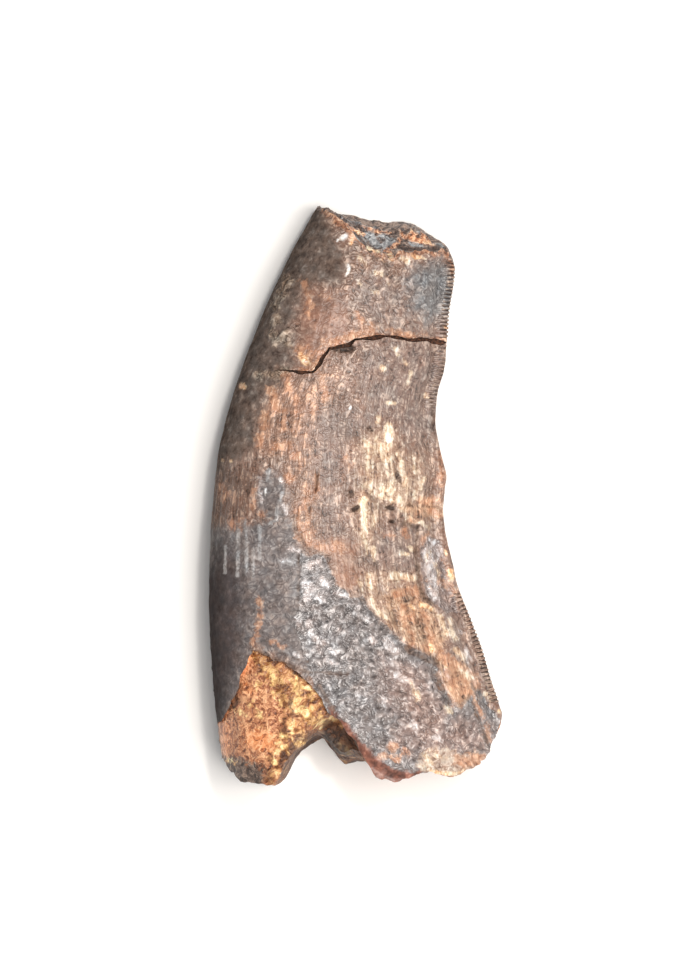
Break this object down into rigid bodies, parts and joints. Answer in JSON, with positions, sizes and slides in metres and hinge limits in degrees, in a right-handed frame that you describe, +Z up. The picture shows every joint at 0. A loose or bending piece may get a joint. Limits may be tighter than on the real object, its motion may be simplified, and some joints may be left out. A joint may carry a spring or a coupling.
{
  "type": "fossil tyrannosaur tooth",
  "caption": "Recurved, serrated fossil tooth crown, broken at tip and base, lying on its flatter side.",
  "frame": {"origin": "on the surface the tooth rests on, under the middle of its bounding box", "axes": "+Y towards the tip, +X towards the serrated concave (distal) edge, +Z up through the fuller side"},
  "size_m": [0.0279, 0.055, 0.0158],
  "materials": {
    "fossil_tooth": "dark brown-grey fossil enamel, satin to glossy, with orange-tan striations, a rough orange to golden dentine and mineral chip, and matt broken ends"
  },
  "bodies": {
    "root": {"tooth": "fossil_tooth"}
  },
  "joints": []
}
